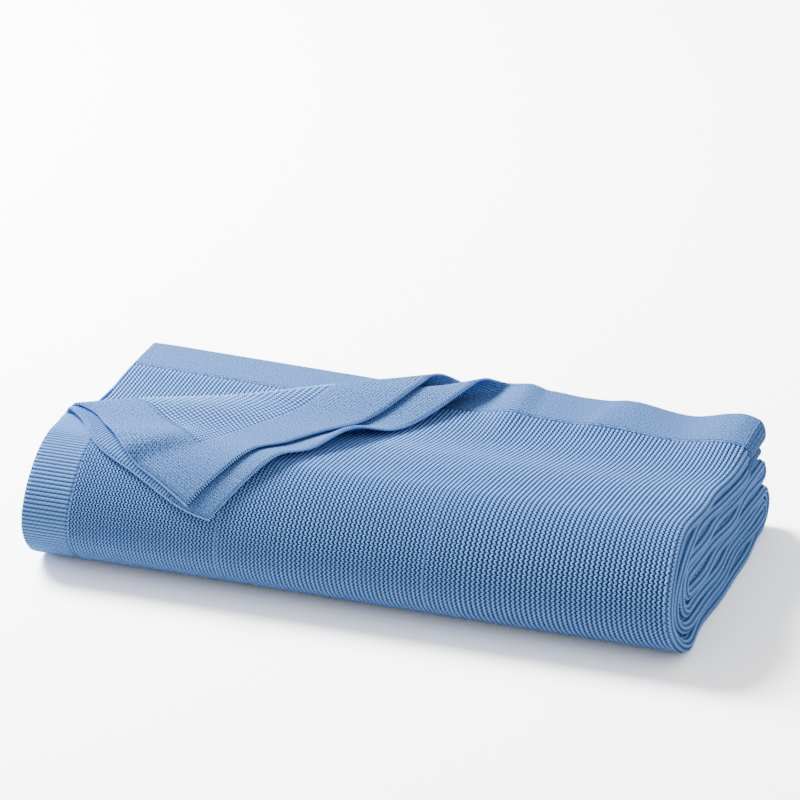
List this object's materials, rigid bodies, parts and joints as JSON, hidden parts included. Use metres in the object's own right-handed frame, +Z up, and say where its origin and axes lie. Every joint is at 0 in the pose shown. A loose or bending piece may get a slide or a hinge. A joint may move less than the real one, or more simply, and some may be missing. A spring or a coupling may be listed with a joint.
{
  "type": "folded cotton knit blanket",
  "caption": "Square cotton knit blanket folded into a long soft bundle, one corner of its top layers turned back; a throw or bed cover at rest.",
  "frame": {"origin": "on the surface under the middle of the folded bundle", "axes": "+X along the front fold to the right, +Y from the front fold to the hems at the back, +Z up"},
  "size_m": [0.581, 0.3072, 0.1195],
  "materials": {
    "cotton_knit": "matte knitted cotton yarn, light blue, with a soft fuzz"
  },
  "bodies": {
    "root": {"knit_blanket": "cotton_knit"}
  },
  "joints": []
}
